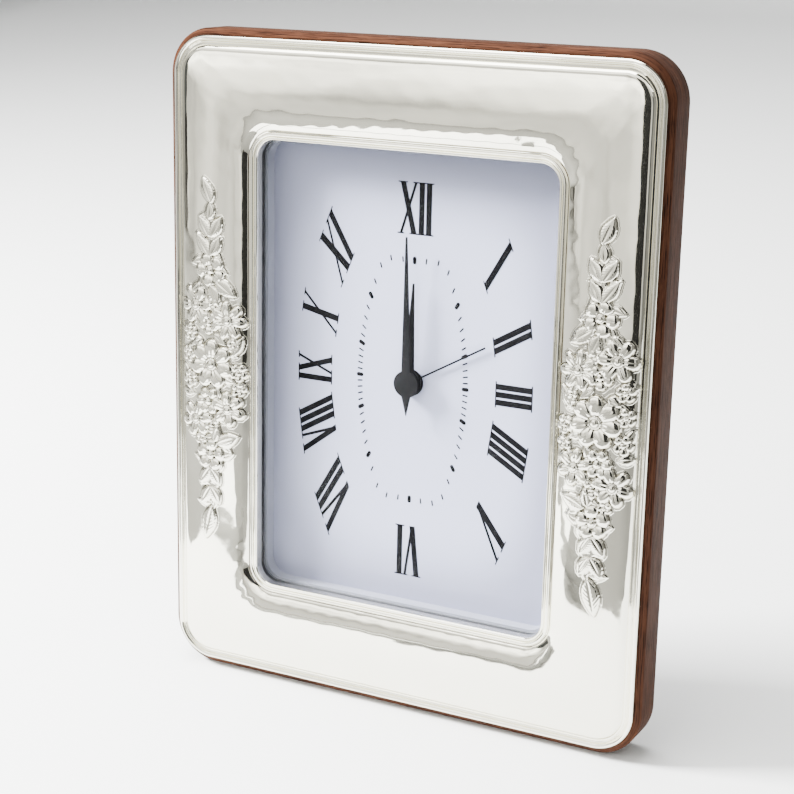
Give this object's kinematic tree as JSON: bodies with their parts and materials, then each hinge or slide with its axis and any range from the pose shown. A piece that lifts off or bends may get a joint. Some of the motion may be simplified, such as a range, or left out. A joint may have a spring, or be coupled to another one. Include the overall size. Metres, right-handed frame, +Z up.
{
  "type": "photo frame alarm clock",
  "caption": "Standing table clock: a tall wooden photo frame faced with embossed polished metal, with a paper dial, black hands and an alarm hand behind glass, on an easel leg.",
  "frame": {"origin": "on the floor, under the middle of the whole clock's box", "axes": "+Z up, -Y towards the viewer of the dial, +X to that viewer's right"},
  "size_m": [0.1454, 0.045, 0.1835],
  "materials": {
    "silver": "polished, warm white silver",
    "frame_wood": "stained and varnished reddish brown",
    "panel_wood": "dark stained board",
    "glass": "clear",
    "black_tape": "matte foam tape",
    "white_card": "matte white board",
    "dial_paper": "matte lilac-white paper",
    "ink": "printed black",
    "grey_board": "matte board",
    "foam": "adhesive foam pad",
    "case_plastic": "moulded black plastic",
    "knob_plastic": "moulded white plastic",
    "white_nylon": "moulded off-white plastic",
    "battery_shell": "plain dark label with bright ends",
    "spring_steel": "thin plated strip",
    "steel": "plain",
    "magnet": "dark sintered",
    "copper": "enamelled wire",
    "board": "green laminate",
    "brass": "plain brass",
    "hand_black": "satin black"
  },
  "bodies": {
    "clock": {"silver_front": "silver", "wood_rail_top": "frame_wood", "wood_rail_bottom": "frame_wood", "wood_rail_left": "frame_wood", "wood_rail_right": "frame_wood", "glass_pane": "glass", "glass_tape": "black_tape", "spacer_frame": "white_card", "dial_card": "dial_paper", "dial_numerals": "ink", "minute_track": "ink", "dial_plate": "grey_board", "back_panel": "panel_wood", "mounting_pad": "foam", "movement_case": "case_plastic", "movement_cover": "case_plastic", "battery": "battery_shell", "battery_contact_positive": "spring_steel", "battery_contact_negative": "spring_steel", "circuit_board": "board", "coil_winding": "copper", "coil_core": "steel", "stator": "steel", "alarm_contact_spring": "spring_steel", "buzzer_disc": "brass", "bearing_plate": "white_nylon", "hinge_leaf_panel": "brass", "hinge_pin": "steel", "hinge_screws": "brass", "clip_screws": "brass"},
    "minute_shaft": {"minute_arbor": "brass", "minute_hand": "hand_black"},
    "hour_shaft": {"hour_wheel": "white_nylon", "hour_hand": "hand_black"},
    "motion_wheel": {"minute_wheel": "white_nylon"},
    "time_setter": {"time_set_arbor": "white_nylon", "time_set_knob": "knob_plastic"},
    "alarm_shaft": {"alarm_wheel": "white_nylon", "alarm_hand": "hand_black"},
    "alarm_setter": {"alarm_set_arbor": "white_nylon", "alarm_set_knob": "knob_plastic"},
    "centre_driver": {"centre_wheel": "white_nylon"},
    "third_driver": {"third_wheel": "white_nylon"},
    "second_driver": {"second_wheel": "white_nylon"},
    "step_driver": {"step_wheel": "white_nylon"},
    "step_rotor": {"rotor": "magnet"},
    "leg": {"easel_leg": "panel_wood", "hinge_leaf_leg": "brass", "leg_screws": "brass"},
    "clip_upper_left": {"turn_clip_upper_left": "brass"},
    "clip_upper_right": {"turn_clip_upper_right": "brass"},
    "clip_lower_left": {"turn_clip_lower_left": "brass"},
    "clip_lower_right": {"turn_clip_lower_right": "brass"},
    "alarm_slider": {"alarm_switch": "knob_plastic"}
  },
  "joints": [
    {"name": "minute_turn", "type": "hinge", "parent": "clock", "child": "minute_shaft", "pos_m": [0, -0.00502, 0.09157], "axis": [0, 0.9962, -0.0872], "continuous": true},
    {"name": "hour_turn", "type": "hinge", "parent": "clock", "child": "hour_shaft", "pos_m": [0, -0.00502, 0.09157], "axis": [0, 0.9962, -0.0872], "continuous": true},
    {"name": "motion_wheel_turn", "type": "hinge", "parent": "clock", "child": "motion_wheel", "pos_m": [-0.00788, -0.00175, 0.08989], "axis": [0, 0.9962, -0.0872], "continuous": true},
    {"name": "time_knob_turn", "type": "hinge", "parent": "clock", "child": "time_setter", "pos_m": [-0.01576, -0.00163, 0.09127], "axis": [0, 0.9962, -0.0872], "continuous": true},
    {"name": "alarm_turn", "type": "hinge", "parent": "clock", "child": "alarm_shaft", "pos_m": [0, -0.00502, 0.09157], "axis": [0, 0.9962, -0.0872], "continuous": true},
    {"name": "alarm_knob_turn", "type": "hinge", "parent": "clock", "child": "alarm_setter", "pos_m": [0.0096, -0.00163, 0.09127], "axis": [0, 0.9962, -0.0872], "continuous": true},
    {"name": "second_turn", "type": "hinge", "parent": "clock", "child": "second_driver", "pos_m": [0.00184, -0.00035, 0.10597], "axis": [0, 0.9962, -0.0872], "continuous": true},
    {"name": "third_turn", "type": "hinge", "parent": "clock", "child": "third_driver", "pos_m": [-0.00156, -0.00086, 0.1001], "axis": [0, 0.9962, -0.0872], "continuous": true},
    {"name": "centre_turn", "type": "hinge", "parent": "clock", "child": "centre_driver", "pos_m": [0, -0.00502, 0.09157], "axis": [0, 0.9962, -0.0872], "continuous": true},
    {"name": "step_turn", "type": "hinge", "parent": "clock", "child": "step_driver", "pos_m": [0.00656, -0.00028, 0.1068], "axis": [0, 0.9962, -0.0872], "continuous": true},
    {"name": "rotor_turn", "type": "hinge", "parent": "clock", "child": "step_rotor", "pos_m": [0.0107, -0.00021, 0.10752], "axis": [0, 0.9962, -0.0872], "continuous": true},
    {"name": "leg_fold", "type": "hinge", "parent": "clock", "child": "leg", "pos_m": [0, -0.00285, 0.05323], "axis": [-1, 0, 0], "range_deg": [0, 25]},
    {"name": "clip_turn_upper_left", "type": "hinge", "parent": "clock", "child": "clip_upper_left", "pos_m": [-0.0525, 0.00235, 0.13107], "axis": [0, -0.9962, 0.0872], "range_deg": [0, 90]},
    {"name": "clip_turn_upper_right", "type": "hinge", "parent": "clock", "child": "clip_upper_right", "pos_m": [0.0525, 0.00235, 0.13107], "axis": [0, 0.9962, -0.0872], "range_deg": [0, 90]},
    {"name": "clip_turn_lower_left", "type": "hinge", "parent": "clock", "child": "clip_lower_left", "pos_m": [-0.0525, -0.00462, 0.05138], "axis": [0, 0.9962, -0.0872], "range_deg": [0, 90]},
    {"name": "clip_turn_lower_right", "type": "hinge", "parent": "clock", "child": "clip_lower_right", "pos_m": [0.0525, -0.00462, 0.05138], "axis": [0, -0.9962, 0.0872], "range_deg": [0, 90]},
    {"name": "alarm_slide", "type": "slide", "parent": "clock", "child": "alarm_slider", "axis": [1, 0, 0], "range_m": [0, 0.004]}
  ],
  "couplings": [
    {"joint": "hour_turn", "follows": "minute_turn", "ratio": 0.083333},
    {"joint": "motion_wheel_turn", "follows": "minute_turn", "ratio": -0.33333},
    {"joint": "time_knob_turn", "follows": "minute_turn", "ratio": 1},
    {"joint": "alarm_knob_turn", "follows": "alarm_turn", "ratio": -3},
    {"joint": "third_turn", "follows": "second_turn", "ratio": -0.13333},
    {"joint": "centre_turn", "follows": "second_turn", "ratio": 0.016667},
    {"joint": "step_turn", "follows": "second_turn", "ratio": -5},
    {"joint": "rotor_turn", "follows": "second_turn", "ratio": 30}
  ]
}
